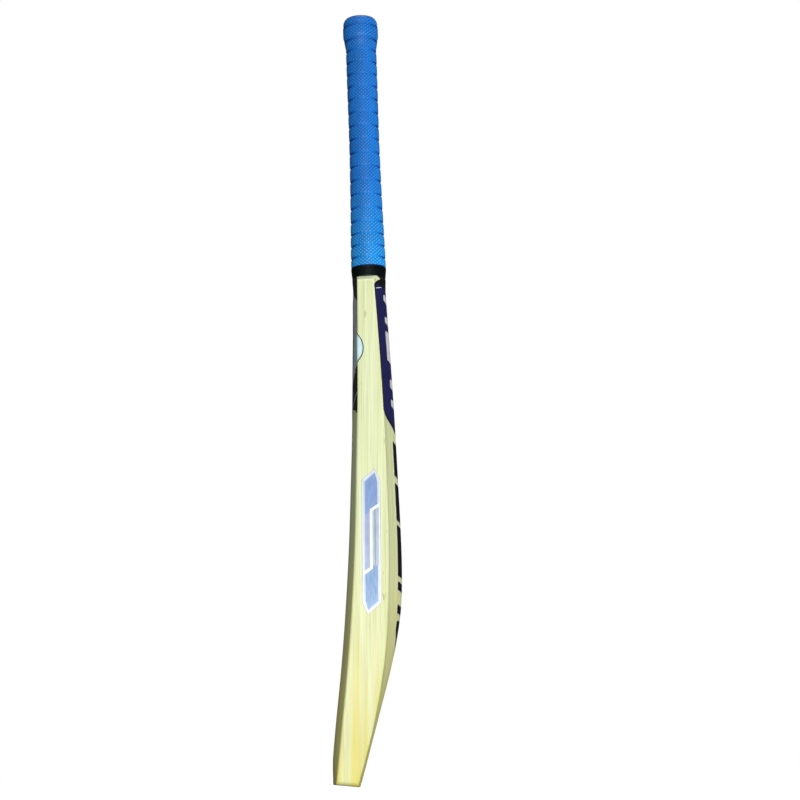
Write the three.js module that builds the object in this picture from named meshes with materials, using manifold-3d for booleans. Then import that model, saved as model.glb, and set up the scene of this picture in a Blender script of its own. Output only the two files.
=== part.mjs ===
// A short-handle cricket bat, in millimetres.
//
// +Z runs up the bat from the toe to the handle, the striking face looks along -Y,
// the spine of the back is on +Y, and X runs across the width of the blade.
// The origin is the middle of the toe face.
//
// The willow blade has a V notch between its shoulders. The handle is laminated from twelve
// strips of cane with three rubber springs between their layers, and its lower end is cut to
// the wedge that fills the notch. Thread binds the handle, a rubber grip is rolled over the
// thread, and printed labels lie on the face, the back and both edges.

import * as THREE from 'three';
import { mergeVertices } from 'three/addons/utils/BufferGeometryUtils.js';
import Module from 'manifold-3d';

const wasm = await Module();
wasm.setup();

// ---- Driving dimensions ---------------------------------------------------------------

const TOTAL_LENGTH = 851;
const HALF_WIDTH = 54;
const GLUE_GAP = 0.3;

// Side view of the blade, each as [height, value] pairs joined by a smooth curve.
const FACE_LINE = [
  [0, -13.1], [60, -7.5], [120, -2.2], [180, 1.7], [250, 4.6], [320, 5.6], [400, 6.4], [480, 5.7], [550, 4.9],
];
const FACE_CROWN = [
  [0, 0.8], [8, 2], [18, 3.4], [30, 4.4], [70, 4.9], [120, 4.7], [200, 4.4], [260, 4], [340, 3.1], [430, 2.6],
  [500, 1.2], [550, 1],
];
const EDGE_DEPTH = [
  [0, 22.1], [50, 30.9], [100, 36], [155, 37.9], [220, 36.1], [300, 32.8], [400, 27.2], [480, 22.2], [550, 17],
];
const SPINE_LINE = [
  [0, 13.9], [40, 24.7], [80, 35.1], [120, 45.2], [155, 52.1], [185, 56], [220, 57], [260, 55.9], [320, 52.8],
  [400, 48.2], [480, 42.6], [550, 37.6],
];
const RIDGE_ROUNDNESS = 0.55;
const EDGE_CORNER = 2;

const TOE_SLANT = THREE.MathUtils.degToRad(4.5);
const TOE_SLANT_HEIGHT = 40;
const TOE_CORNER_RADIUS = 4;

// The shoulders narrow the blade from its full width to the neck, where the handle leaves it.
const SHOULDER_BOTTOM = 528;
const NECK_HEIGHT = 545;
const SHOULDER_LINE = [[528, 54], [530.5, 53.2], [533, 50.5], [537.5, 43], [541.5, 33], [544.2, 22], [545, 17.2]];
const NECK_HALF_DEPTH = 18.2;

const HANDLE_TILT = THREE.MathUtils.degToRad(2.1);
const NECK_CENTRE_Y = 20.7;

// Half-widths of the bare cane handle, across the bat and from front to back.
const CANE_HALF_WIDTH = [[0, 14.1], [60, 13.6], [110, 13.1], [160, 12.9], [303, 12.9]];
const CANE_HALF_DEPTH = [
  [0, 15.6], [30, 15.3], [70, 14.4], [110, 13.7], [160, 13.2], [230, 13.5], [272, 13.5], [303, 13.2],
];

// The wedge of the splice, from the neck down to its blunt tip.
const WEDGE_LENGTH = 147;
const WEDGE_TOP_HALF_WIDTH = 15;
const WEDGE_TIP_HALF_WIDTH = 1;

const SPRING_THICKNESS = 1.2;
const SPRING_SPACING = 6.8;
const CANE_COLUMN_WIDTH = 9.2;

// The binding is built up below the grip, as [height, distance outside the bare cane].
const THREAD_THICKNESS = 0.8;
const THREAD_BOTTOM = 1;
const THREAD_FOOT = [[1, 2.8], [12.6, 4]];
const GRIP_THICKNESS = 2.3;
const GRIP_BOTTOM = 13;

// The ring grooves of the grip, as [number, height], closer together at its two ends.
const GRIP_GROOVES = 17;
const GROOVE_LINE = [[0, 26], [3, 68], [9, 164], [13, 226], [16, 269]];
const GROOVE_DEPTH = 0.9;
const GROOVE_HALF_WIDTH = 2.2;

// The collar at the top of the grip, as [height, distance outside the sleeve below it].
const COLLAR_PROFILE = [
  [272, 0.3], [275, 0.9], [279.5, 1.6], [281, 1.5], [283.5, 2.5], [288, 2.8], [295.8, 2.7], [297.5, 1.9],
  [299.2, 2.5], [303, 1.8], [305.3, 0.3], [306, -1.4],
];
const LIP_THICKNESS = 2.7;
const LIP_OPENING = 0.75;
const HANDLE_LENGTH = TOTAL_LENGTH - NECK_HEIGHT - LIP_THICKNESS - GLUE_GAP;

const LABEL_THICKNESS = 0.3;
const LABEL_TOP = { edge: 526, neck: 544, neckHalfWidth: 30 };
const FACE_LABEL_BOTTOM = 384;
const FACE_LABEL_ARCH = 12;
const EMBLEM_HEIGHT = 455;
const EMBLEM_RADIUS = 21;
const EMBLEM_SETBACK = 14;
const BACK_LABEL_BOTTOM = 388;
const BACK_LABEL_POINT = 370;
const FLANK_STRIP = { inner: 1, outer: 16, bottom: 134, top: 362, slant: 6 };
const EDGE_LABEL = { bottom: 173, top: 325, corner: 12, halfWidth: 9.5, apexShift: 4, lean: 0.8, middle: 21.6 };

const RING_SEGMENTS = 24;
const SECTION_COLUMNS = [0, 0.17, 0.34, 0.5, 0.66, 0.81, 0.93, 1];
const BLADE_STATIONS = [
  0, 0.7, 1.6, 2.7, 4, 15, 27, 40, 70, 100, 125, 150, 175, 200, 230, 260, 300, 340, 380, 420, 460, 495,
  520, 528, 529.5, 531, 533, 536, 539, 542, 544, 545,
];
const HANDLE_STATIONS = [0, 30, 70, 110, 160, 230, 272];

// ---- Materials ------------------------------------------------------------------------

function material(colour, roughness) {
  return new THREE.MeshStandardMaterial({ color: colour, roughness, metalness: 0 });
}

const willow = material(0xe6ecc4, 0.45);
const cane = material(0xd8bd86, 0.6);
const springRubber = material(0x3a3632, 0.8);
const thread = material(0x05090b, 0.25);
const gripRubber = material(0x2a73bd, 0.55);
const faceFoil = material(0x15171a, 0.3);
const backFoil = material(0x212356, 0.3);
const edgeFoil = material(0x8facdf, 0.3);
const flankPrint = material(0x101010, 0.35);

// ---- Geometry helpers -----------------------------------------------------------------

// A smooth curve through [height, value] pairs, read at one height.
function smooth(pairs, height) {
  const last = pairs.length - 1;
  const slope = (i) => {
    const before = pairs[Math.max(i - 1, 0)];
    const after = pairs[Math.min(i + 1, last)];
    return (after[1] - before[1]) / (after[0] - before[0]);
  };
  let i = 0;
  while (i < last - 1 && height > pairs[i + 1][0]) i += 1;
  const span = pairs[i + 1][0] - pairs[i][0];
  const t = THREE.MathUtils.clamp((height - pairs[i][0]) / span, 0, 1);
  const rise = pairs[i + 1][1] - pairs[i][1];
  const startSlope = slope(i) * span;
  const endSlope = slope(i + 1) * span;
  const bend = startSlope + endSlope - 2 * rise;
  return pairs[i][1] + t * (startSlope + t * (3 * rise - 2 * startSlope - endSlope + t * bend));
}

// A closed body through rings of points that run anticlockwise seen from above. The rings
// climb from a bottom cap to a top cap, or go up outside and down inside when hollow is true.
function loft(rings, hollow = false) {
  const positions = [];
  const index = [];
  const count = rings[0].length;
  for (const ring of rings) {
    for (const point of ring) positions.push(point.x, point.y, point.z);
  }
  const bands = hollow ? rings.length : rings.length - 1;
  for (let i = 0; i < bands; i += 1) {
    const low = i * count;
    const high = ((i + 1) % rings.length) * count;
    for (let j = 0; j < count; j += 1) {
      const next = (j + 1) % count;
      index.push(low + j, low + next, high + next, low + j, high + next, high + j);
    }
  }
  if (!hollow) {
    addCap(positions, index, rings[0], 0, false);
    addCap(positions, index, rings.at(-1), (rings.length - 1) * count, true);
  }
  const geometry = new THREE.BufferGeometry();
  geometry.setAttribute('position', new THREE.Float32BufferAttribute(positions, 3));
  geometry.setIndex(index);
  geometry.computeVertexNormals();
  return geometry;
}

function addCap(positions, index, ring, first, facesUp) {
  const middle = new THREE.Vector3();
  for (const point of ring) middle.addScaledVector(point, 1 / ring.length);
  const centre = positions.length / 3;
  positions.push(middle.x, middle.y, middle.z);
  for (let j = 0; j < ring.length; j += 1) {
    const next = (j + 1) % ring.length;
    if (facesUp) index.push(centre, first + j, first + next);
    else index.push(centre, first + next, first + j);
  }
}

function toSolid(geometry) {
  const bare = geometry.clone();
  bare.deleteAttribute('normal');
  bare.deleteAttribute('uv');
  const merged = mergeVertices(bare);
  return new wasm.Manifold(new wasm.Mesh({
    numProp: 3,
    vertProperties: merged.attributes.position.array,
    triVerts: new Uint32Array(merged.index.array),
  }));
}

function toGeometry(solid) {
  const mesh = solid.getMesh();
  const geometry = new THREE.BufferGeometry();
  geometry.setAttribute('position', new THREE.BufferAttribute(mesh.vertProperties, 3));
  geometry.setIndex(new THREE.BufferAttribute(mesh.triVerts, 1));
  geometry.computeVertexNormals();
  return geometry;
}

// An outline drawn as (x, z) and pushed through the whole depth of the bat.
const REACH = 120;
function frontPrism(points) {
  const shape = new THREE.Shape(points.map(([x, z]) => new THREE.Vector2(x, z)));
  const geometry = new THREE.ExtrudeGeometry(shape, { depth: 2 * REACH, bevelEnabled: false });
  geometry.rotateX(Math.PI / 2);
  return geometry.translate(0, REACH, 0);
}

// An outline drawn as (y, z) and pushed along +X from one place to another.
function sidePrism(shape, fromX, toX) {
  const geometry = new THREE.ExtrudeGeometry(shape, {
    depth: toX - fromX, bevelEnabled: false, curveSegments: RING_SEGMENTS,
  });
  const turn = new THREE.Matrix4().makeBasis(
    new THREE.Vector3(0, 1, 0), new THREE.Vector3(0, 0, 1), new THREE.Vector3(1, 0, 0),
  );
  return geometry.applyMatrix4(turn).translate(fromX, 0, 0);
}

function addPiece(parent, name, geometry, pieceMaterial) {
  const mesh = new THREE.Mesh(geometry, pieceMaterial);
  mesh.name = name;
  parent.add(mesh);
}

// ---- Blade surface --------------------------------------------------------------------

function halfWidth(z) {
  if (z < TOE_CORNER_RADIUS) {
    const up = TOE_CORNER_RADIUS - z;
    return HALF_WIDTH - TOE_CORNER_RADIUS + Math.sqrt(TOE_CORNER_RADIUS ** 2 - up ** 2);
  }
  return z > SHOULDER_BOTTOM ? smooth(SHOULDER_LINE, z) : HALF_WIDTH;
}

function faceY(x, z) {
  return smooth(FACE_LINE, z) - smooth(FACE_CROWN, z) * (1 - (x / HALF_WIDTH) ** 2);
}

function edgeBackY(z) {
  return smooth(FACE_LINE, z) + smooth(EDGE_DEPTH, z);
}

// The back climbs from each edge to the spine: part straight flank, part rounded ridge.
function backY(x, z) {
  const across = Math.min(Math.abs(x) / HALF_WIDTH, 1);
  const ridge = (1 + Math.cos(Math.PI * across)) / 2;
  const climb = (1 - RIDGE_ROUNDNESS) * (1 - across) + RIDGE_ROUNDNESS * ridge;
  return edgeBackY(z) + (smooth(SPINE_LINE, z) - edgeBackY(z)) * climb;
}

// The right half of one blade section, from the middle of the face to the middle of the back.
function halfSection(z, skin) {
  const width = halfWidth(z) + skin;
  const inner = width - EDGE_CORNER;
  const bevel = 0.3 * EDGE_CORNER;
  const face = faceY(inner, z) - skin;
  const back = backY(inner, z) + skin;
  const points = SECTION_COLUMNS.map((share) => [share * inner, faceY(share * inner, z) - skin]);
  points.push([width - bevel, face + bevel], [width, face + EDGE_CORNER]);
  points.push([width, back - EDGE_CORNER], [width - bevel, back - bevel]);
  for (const share of SECTION_COLUMNS.toReversed()) {
    points.push([share * inner, backY(share * inner, z) + skin]);
  }
  return points;
}

// One whole section. Near the neck it turns from the blade's section into the oval of the
// handle, and near the toe it tips to the slant of the toe face.
function bladeRing(z, skin) {
  const right = halfSection(z, skin);
  const left = right.slice(1, -1).toReversed().map(([x, y]) => [-x, y]);
  const width = halfWidth(z) + skin;
  const neck = THREE.MathUtils.smoothstep(z, SHOULDER_BOTTOM, NECK_HEIGHT);
  const centre = NECK_CENTRE_Y + (NECK_HEIGHT - z) * Math.tan(HANDLE_TILT);
  const depth = NECK_HALF_DEPTH + skin;
  const slant = Math.tan(TOE_SLANT) * Math.max(0, 1 - z / TOE_SLANT_HEIGHT);
  return [...right, ...left].map(([x, y]) => {
    const angle = Math.atan2((y - centre) / depth, x / width);
    const oval = new THREE.Vector3(width * Math.cos(angle), centre + depth * Math.sin(angle), z);
    return new THREE.Vector3(x, y, z - slant * y).lerp(oval, neck);
  });
}

// The blade's outer form, grown by a skin where a label lies on it.
function bladeForm(skin = 0) {
  return toSolid(loft(BLADE_STATIONS.map((z) => bladeRing(z, skin))));
}

function wedge(gap) {
  const top = WEDGE_TOP_HALF_WIDTH - gap;
  const tip = WEDGE_TIP_HALF_WIDTH - gap;
  const topZ = NECK_HEIGHT + GLUE_GAP;
  const tipZ = NECK_HEIGHT - WEDGE_LENGTH + gap;
  return toSolid(frontPrism([[-tip, tipZ], [tip, tipZ], [top, topZ], [-top, topZ]]));
}

// ---- Handle ---------------------------------------------------------------------------

// The handle's own frame: its origin is the middle of the neck and its Z is the handle's axis.
const handle = new THREE.Group();
handle.position.set(0, NECK_CENTRE_Y, NECK_HEIGHT);
handle.rotation.x = HANDLE_TILT;
handle.updateMatrixWorld();

// An oval ring round the handle, a given distance outside the bare cane.
function handleRing(z, outside, share = 1) {
  const halfX = smooth(CANE_HALF_WIDTH, z) + outside;
  const halfY = smooth(CANE_HALF_DEPTH, z) + outside;
  const ring = [];
  for (let i = 0; i < RING_SEGMENTS; i += 1) {
    const angle = (2 * Math.PI * i) / RING_SEGMENTS;
    ring.push(new THREE.Vector3(share * halfX * Math.cos(angle), share * halfY * Math.sin(angle), z));
  }
  return ring;
}

function handleStations(from, to) {
  return [from, ...HANDLE_STATIONS.filter((z) => z > from && z < to), to];
}

// Canes and springs are slices of one blank: the oval handle and the wedge below it.
function handleBlank() {
  const stem = toSolid(loft(handleStations(-2, HANDLE_LENGTH).map((z) => handleRing(z, 0))));
  const lower = toGeometry(bladeForm().intersect(wedge(GLUE_GAP)));
  lower.applyMatrix4(handle.matrixWorld.clone().invert());
  return stem.add(toSolid(lower));
}

function slice(blank, fromX, toX, fromY, toY) {
  const box = new THREE.BoxGeometry(toX - fromX, toY - fromY, 2 * TOTAL_LENGTH);
  box.translate((fromX + toX) / 2, (fromY + toY) / 2, 0);
  return toGeometry(blank.intersect(toSolid(box)));
}

function addHandleCore() {
  const blank = handleBlank();
  const column = CANE_COLUMN_WIDTH / 2;
  const seam = GLUE_GAP / 2;
  const columns = [
    ['left', -REACH, -column - seam], ['middle', -column + seam, column - seam], ['right', column + seam, REACH],
  ];
  const springHalf = SPRING_THICKNESS / 2;
  const clear = springHalf + GLUE_GAP;
  const layers = [
    ['front', -REACH, -SPRING_SPACING - clear],
    ['front_inner', -SPRING_SPACING + clear, -clear],
    ['back_inner', clear, SPRING_SPACING - clear],
    ['back', SPRING_SPACING + clear, REACH],
  ];
  for (const [layer, fromY, toY] of layers) {
    for (const [side, fromX, toX] of columns) {
      addPiece(handle, `cane_${layer}_${side}`, slice(blank, fromX, toX, fromY, toY), cane);
    }
  }
  const springs = [['front', -SPRING_SPACING], ['centre', 0], ['back', SPRING_SPACING]];
  for (const [name, y] of springs) {
    const strip = slice(blank, -REACH, REACH, y - springHalf, y + springHalf);
    addPiece(handle, `rubber_spring_${name}`, strip, springRubber);
  }
}

// The thread binding, drawn as the sleeve that its close turns make.
function addBinding() {
  const footTop = THREAD_FOOT.at(-1)[0];
  const foot = THREAD_FOOT.map(([z, outside]) => handleRing(z, outside));
  const outer = handleStations(footTop, HANDLE_LENGTH).map((z) => handleRing(z, GLUE_GAP + THREAD_THICKNESS));
  const inner = handleStations(THREAD_BOTTOM, HANDLE_LENGTH).toReversed().map((z) => handleRing(z, GLUE_GAP));
  addPiece(handle, 'thread_binding', loft([...foot, ...outer, ...inner], true), thread);
}

// The rolled-on rubber grip: grooved outside, thicker at the collar, with a lip that turns in
// over the end of the handle and leaves the cane ends in view.
function addGrip() {
  const inside = 2 * GLUE_GAP + THREAD_THICKNESS;
  const outside = inside + GRIP_THICKNESS;
  const lipBottom = HANDLE_LENGTH + GLUE_GAP;
  const rings = [handleRing(GRIP_BOTTOM, inside), handleRing(GRIP_BOTTOM, outside - 0.5)];
  rings.push(handleRing(GRIP_BOTTOM + 0.8, outside));
  for (let i = 0; i < GRIP_GROOVES; i += 1) {
    const z = smooth(GROOVE_LINE, i);
    rings.push(handleRing(z - GROOVE_HALF_WIDTH, outside));
    rings.push(handleRing(z, outside - GROOVE_DEPTH));
    rings.push(handleRing(z + GROOVE_HALF_WIDTH, outside));
  }
  for (const [z, extra] of COLLAR_PROFILE) rings.push(handleRing(z, outside + extra));
  rings.push(handleRing(lipBottom + LIP_THICKNESS, 0, LIP_OPENING), handleRing(lipBottom, 0, LIP_OPENING));
  rings.push(handleRing(lipBottom, inside));
  for (const z of HANDLE_STATIONS.toReversed()) {
    if (z > GRIP_BOTTOM) rings.push(handleRing(z, inside));
  }
  addPiece(handle, 'grip', loft(rings, true), gripRubber);
}

// ---- Labels ---------------------------------------------------------------------------

// A thin film that follows the blade at the glue gap, kept where the given region is.
function film(region) {
  const outer = bladeForm(GLUE_GAP + LABEL_THICKNESS);
  return outer.subtract(bladeForm(GLUE_GAP)).intersect(region);
}

// Everything in front of the blade's edge line, or everything behind it, between two heights.
function coverRegion(lineY, far, bottom, top) {
  const steps = 12;
  const shape = new THREE.Shape();
  shape.moveTo(far, bottom);
  for (let i = 0; i <= steps; i += 1) {
    const z = bottom + ((top - bottom) * i) / steps;
    shape.lineTo(lineY(z), z);
  }
  shape.lineTo(far, top);
  return toSolid(sidePrism(shape, -REACH, REACH));
}

// The top of the face and back labels, which leaves the corners of the shoulders bare.
function labelTop() {
  const { edge, neck, neckHalfWidth } = LABEL_TOP;
  const side = HALF_WIDTH + 1;
  return [[side, edge], [neckHalfWidth, neck], [-neckHalfWidth, neck], [-side, edge]];
}

// The face label reaches both edges, and a round emblem at each side wraps over the edge.
function addFaceLabel(parent) {
  const steps = 12;
  const outline = [];
  for (let i = 0; i <= steps; i += 1) {
    const across = (2 * i) / steps - 1;
    outline.push([across * (HALF_WIDTH + 1), FACE_LABEL_BOTTOM + FACE_LABEL_ARCH * (1 - across ** 2)]);
  }
  outline.push(...labelTop());
  const sheetEdge = (z) => smooth(FACE_LINE, z) + 0.5 * EDGE_CORNER;
  const sheet = coverRegion(sheetEdge, -REACH, FACE_LABEL_BOTTOM - 1, LABEL_TOP.neck);
  const circle = new THREE.Shape();
  const emblemY = smooth(FACE_LINE, EMBLEM_HEIGHT) - EMBLEM_SETBACK;
  circle.absarc(emblemY, EMBLEM_HEIGHT, EMBLEM_RADIUS, 0, 2 * Math.PI);
  const emblem = toSolid(sidePrism(circle, -REACH, REACH));
  const region = sheet.intersect(toSolid(frontPrism(outline))).add(emblem);
  addPiece(parent, 'face_label', toGeometry(film(region)), faceFoil);
}

// The back label covers both flanks below the shoulders and ends in a shallow point.
function addBackLabel(parent) {
  const side = HALF_WIDTH + 1;
  const outline = [[-side, BACK_LABEL_BOTTOM], [0, BACK_LABEL_POINT], [side, BACK_LABEL_BOTTOM], ...labelTop()];
  const sheetEdge = (z) => edgeBackY(z) - 0.4 * EDGE_CORNER;
  const sheet = coverRegion(sheetEdge, REACH, BACK_LABEL_POINT - 1, LABEL_TOP.neck);
  const region = sheet.intersect(toSolid(frontPrism(outline)));
  addPiece(parent, 'back_label', toGeometry(film(region)), backFoil);
}

function addFlankStrips(parent) {
  const { inner, outer, bottom, top, slant } = FLANK_STRIP;
  const sheet = coverRegion((z) => edgeBackY(z), REACH, bottom - 1, top + 1);
  for (const [name, side] of [['left', -1], ['right', 1]]) {
    const outline = [
      [side * inner, bottom], [side * outer, bottom + slant], [side * outer, top], [side * inner, top - slant],
    ];
    const region = sheet.intersect(toSolid(frontPrism(side > 0 ? outline : outline.toReversed())));
    addPiece(parent, `flank_strip_${name}`, toGeometry(film(region)), flankPrint);
  }
}

// Each edge label is a long six-sided strip on the flat of the edge.
function addEdgeLabels(parent) {
  const { bottom, top, corner, halfWidth: half, apexShift, lean, middle } = EDGE_LABEL;
  const shape = new THREE.Shape();
  shape.moveTo(middle + lean - apexShift, bottom);
  shape.lineTo(middle + lean + half, bottom + corner);
  shape.lineTo(middle - lean + half, top - corner);
  shape.lineTo(middle - lean + apexShift, top);
  shape.lineTo(middle - lean - half, top - corner);
  shape.lineTo(middle + lean - half, bottom + corner);
  const near = HALF_WIDTH + GLUE_GAP;
  const far = near + LABEL_THICKNESS;
  addPiece(parent, 'edge_label_right', sidePrism(shape, near, far), edgeFoil);
  addPiece(parent, 'edge_label_left', sidePrism(shape, -far, -near), edgeFoil);
}

// ---- Assembly -------------------------------------------------------------------------

const bat = new THREE.Group();
addPiece(bat, 'blade', toGeometry(bladeForm().subtract(wedge(0))), willow);
addHandleCore();
addBinding();
addGrip();
bat.add(handle);
addFaceLabel(bat);
addBackLabel(bat);
addFlankStrips(bat);
addEdgeLabels(bat);

export default bat;
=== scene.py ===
"""The looks of a short-handle cricket bat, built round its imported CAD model.

Everything is in metres, in the CAD model's frame: +Z up the bat, the striking face towards -Y,
the spine of the back towards +Y, and X across the width. The lines of the blade and the handle
repeat the CAD source's, in millimetres, and are turned to metres as they are read in. The grip's
ring grooves and the printed bars are placed on their own, a few millimetres from the CAD model's.
"""

import math

import bmesh
import bpy
from mathutils import Matrix, Vector


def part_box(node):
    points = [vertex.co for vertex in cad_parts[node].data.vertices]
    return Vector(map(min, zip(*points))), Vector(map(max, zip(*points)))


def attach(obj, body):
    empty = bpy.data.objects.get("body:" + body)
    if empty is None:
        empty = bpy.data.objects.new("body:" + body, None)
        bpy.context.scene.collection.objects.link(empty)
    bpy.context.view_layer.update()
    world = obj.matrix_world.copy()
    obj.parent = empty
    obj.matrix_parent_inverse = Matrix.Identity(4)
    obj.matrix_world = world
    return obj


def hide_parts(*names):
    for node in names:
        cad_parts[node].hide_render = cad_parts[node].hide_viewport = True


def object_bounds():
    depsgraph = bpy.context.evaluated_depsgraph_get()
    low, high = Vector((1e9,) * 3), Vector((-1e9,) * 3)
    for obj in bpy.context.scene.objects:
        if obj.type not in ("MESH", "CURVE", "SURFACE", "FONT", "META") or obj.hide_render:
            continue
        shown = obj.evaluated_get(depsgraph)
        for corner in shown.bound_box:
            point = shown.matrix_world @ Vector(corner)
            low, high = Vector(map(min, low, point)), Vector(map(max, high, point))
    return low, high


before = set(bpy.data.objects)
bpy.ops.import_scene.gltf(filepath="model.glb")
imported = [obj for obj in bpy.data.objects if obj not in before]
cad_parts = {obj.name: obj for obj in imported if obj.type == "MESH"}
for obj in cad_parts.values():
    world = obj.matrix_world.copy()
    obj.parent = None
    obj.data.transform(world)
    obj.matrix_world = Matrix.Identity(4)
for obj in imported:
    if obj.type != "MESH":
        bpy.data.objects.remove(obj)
CAD_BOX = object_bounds()


def mm(value):
    """A length in millimetres, or any nested list of them, in metres."""
    if isinstance(value, (int, float)):
        return value * 0.001
    return [mm(part) for part in value]


# ---- Driving dimensions -----------------------------------------------------------------

HALF_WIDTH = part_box("blade")[1].x
BAT_TOP = CAD_BOX[1].z
FLOOR_HEIGHT = CAD_BOX[0].z

# Side view of the blade, each as [height, value] pairs joined by a smooth curve.
FACE_LINE = mm([
    [0, -13.1], [60, -7.5], [120, -2.2], [180, 1.7], [250, 4.6], [320, 5.6], [400, 6.4], [480, 5.7],
    [550, 4.9],
])
FACE_CROWN = mm([
    [0, 0.8], [8, 2], [18, 3.4], [30, 4.4], [70, 4.9], [120, 4.7], [200, 4.4], [260, 4], [340, 3.1],
    [430, 2.6], [500, 1.2], [550, 1],
])
EDGE_DEPTH = mm([
    [0, 22.1], [50, 30.9], [100, 36], [155, 37.9], [220, 36.1], [300, 32.8], [400, 27.2], [480, 22.2],
    [550, 17],
])
SPINE_LINE = mm([
    [0, 13.9], [40, 24.7], [80, 35.1], [120, 45.2], [155, 52.1], [185, 56], [220, 57], [260, 55.9],
    [320, 52.8], [400, 48.2], [480, 42.6], [550, 37.6],
])
RIDGE_ROUNDNESS = 0.55
EDGE_CORNER = mm(2)
TOE_SLANT = math.radians(4.5)
TOE_SLANT_HEIGHT = mm(40)
TOE_CORNER_RADIUS = mm(4)
TOE_EDGE_RADIUS = mm(1)
SHOULDER_BOTTOM = mm(528)
NECK_HEIGHT = mm(545)
SHOULDER_LINE = mm([
    [528, 54], [530.5, 53.2], [533, 50.5], [537.5, 43], [541.5, 33], [544.2, 22], [545, 17.2],
])
NECK_HALF_DEPTH = mm(18.2)
WEDGE_LENGTH = mm(147)
WEDGE_TOP_HALF_WIDTH = mm(15)
WEDGE_TIP_HALF_WIDTH = mm(1)

HANDLE_TILT = math.radians(2.1)
NECK_CENTRE_Y = mm(20.7)
CANE_HALF_WIDTH = mm([[0, 14.1], [60, 13.6], [110, 13.1], [160, 12.9], [303, 12.9]])
CANE_HALF_DEPTH = mm([
    [0, 15.6], [30, 15.3], [70, 14.4], [110, 13.7], [160, 13.2], [230, 13.5], [272, 13.5], [303, 13.2],
])
HANDLE_LENGTH = mm(303)

# The binding is built up below the grip, as [height, distance outside the bare cane]. Between the
# heights of THREAD_STEP it drops to a single layer of thread.
THREAD_INSIDE = mm(0.3)
THREAD_THICKNESS = mm(0.8)
THREAD_BOTTOM = mm(1)
THREAD_FOOT = mm([[1, 2.8], [12.6, 4]])
THREAD_STEP = mm([12.3, 12.75])
THREAD_PITCH = mm(1.1)

# The grip. Its ring grooves are [number, height in millimetres], 3 to 4 mm below the CAD model's.
GRIP_INSIDE = mm(1.4)
GRIP_OUTSIDE = mm(3.7)
GRIP_BOTTOM = mm(13)
GROOVE_COUNT = 17
GROOVE_LINE = [[0, 23], [3, 64.3], [9, 160], [13, 222.3], [16, 265.6]]
GROOVE_DEPTH = mm(0.8)
GROOVE_HALF_WIDTH = mm(2)

# The collar at the top of the grip, as [height, distance outside the sleeve below it].
COLLAR_PROFILE = mm([
    [272, 0.3], [275, 0.9], [279.5, 1.6], [281, 1.5], [283.5, 2.5], [288, 2.8], [295.8, 2.7], [297.5, 1.9],
    [299.2, 2.5], [303, 1.8], [305.3, 0.3], [306, -1.4],
])
LIP_TOP = mm(306)
LIP_BOTTOM = mm(303.3)
LIP_OPENING = 0.75


# ---- Small helpers ----------------------------------------------------------------------

TINY = 1e-7


def read_line(pairs, place):
    """The smooth curve through [place, value] pairs, read at one place."""
    last = len(pairs) - 1

    def slope(i):
        before = pairs[max(i - 1, 0)]
        after = pairs[min(i + 1, last)]
        return (after[1] - before[1]) / (after[0] - before[0])

    i = 0
    while i < last - 1 and place > pairs[i + 1][0]:
        i += 1
    span = pairs[i + 1][0] - pairs[i][0]
    t = min(max((place - pairs[i][0]) / span, 0.0), 1.0)
    rise = pairs[i + 1][1] - pairs[i][1]
    start = slope(i) * span
    end = slope(i + 1) * span
    return pairs[i][1] + t * (start + t * (3 * rise - 2 * start - end + t * (start + end - 2 * rise)))


def ease(value, low, high):
    """0 below low, 1 above high and a smooth step between."""
    t = min(max((value - low) / (high - low), 0.0), 1.0)
    return t * t * (3 - 2 * t)


def spread(start, stop, count):
    """count + 1 evenly spaced numbers from start to stop."""
    return [start + (stop - start) * i / count for i in range(count + 1)]


def join_rings(count, rings):
    """Quads between neighbouring rings of count points each."""
    faces = []
    for i in range(rings - 1):
        for j in range(count):
            low = i * count
            high = low + count
            after = (j + 1) % count
            faces.append((low + j, low + after, high + after, high + j))
    return faces


def make_piece(name, vertices, faces, materials, slots=None, sharp_angle=35):
    """A smooth-shaded mesh that rides on the bat. slots gives each face's material by number."""
    mesh = bpy.data.meshes.new(name)
    mesh.from_pydata([tuple(v) for v in vertices], [], faces)
    for material in materials:
        mesh.materials.append(material)
    if slots:
        mesh.polygons.foreach_set("material_index", slots)
    shell = bmesh.new()
    shell.from_mesh(mesh)
    bmesh.ops.recalc_face_normals(shell, faces=shell.faces)
    shell.to_mesh(mesh)
    shell.free()
    mesh.shade_smooth()
    mesh.set_sharp_from_angle(angle=math.radians(sharp_angle))
    piece = bpy.data.objects.new(name, mesh)
    bpy.context.scene.collection.objects.link(piece)
    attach(piece, "root")
    return piece


# ---- The blade's surface ----------------------------------------------------------------

def half_width(z):
    if z < TOE_CORNER_RADIUS:
        up = TOE_CORNER_RADIUS - z
        return HALF_WIDTH - TOE_CORNER_RADIUS + math.sqrt(TOE_CORNER_RADIUS ** 2 - up ** 2)
    return read_line(SHOULDER_LINE, z) if z > SHOULDER_BOTTOM else HALF_WIDTH


def face_y(x, z):
    return read_line(FACE_LINE, z) - read_line(FACE_CROWN, z) * (1 - (x / HALF_WIDTH) ** 2)


def edge_back_y(z):
    return read_line(FACE_LINE, z) + read_line(EDGE_DEPTH, z)


def back_y(x, z):
    across = min(abs(x) / HALF_WIDTH, 1.0)
    ridge = (1 + math.cos(math.pi * across)) / 2
    climb = (1 - RIDGE_ROUNDNESS) * (1 - across) + RIDGE_ROUNDNESS * ridge
    return edge_back_y(z) + (read_line(SPINE_LINE, z) - edge_back_y(z)) * climb


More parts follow.
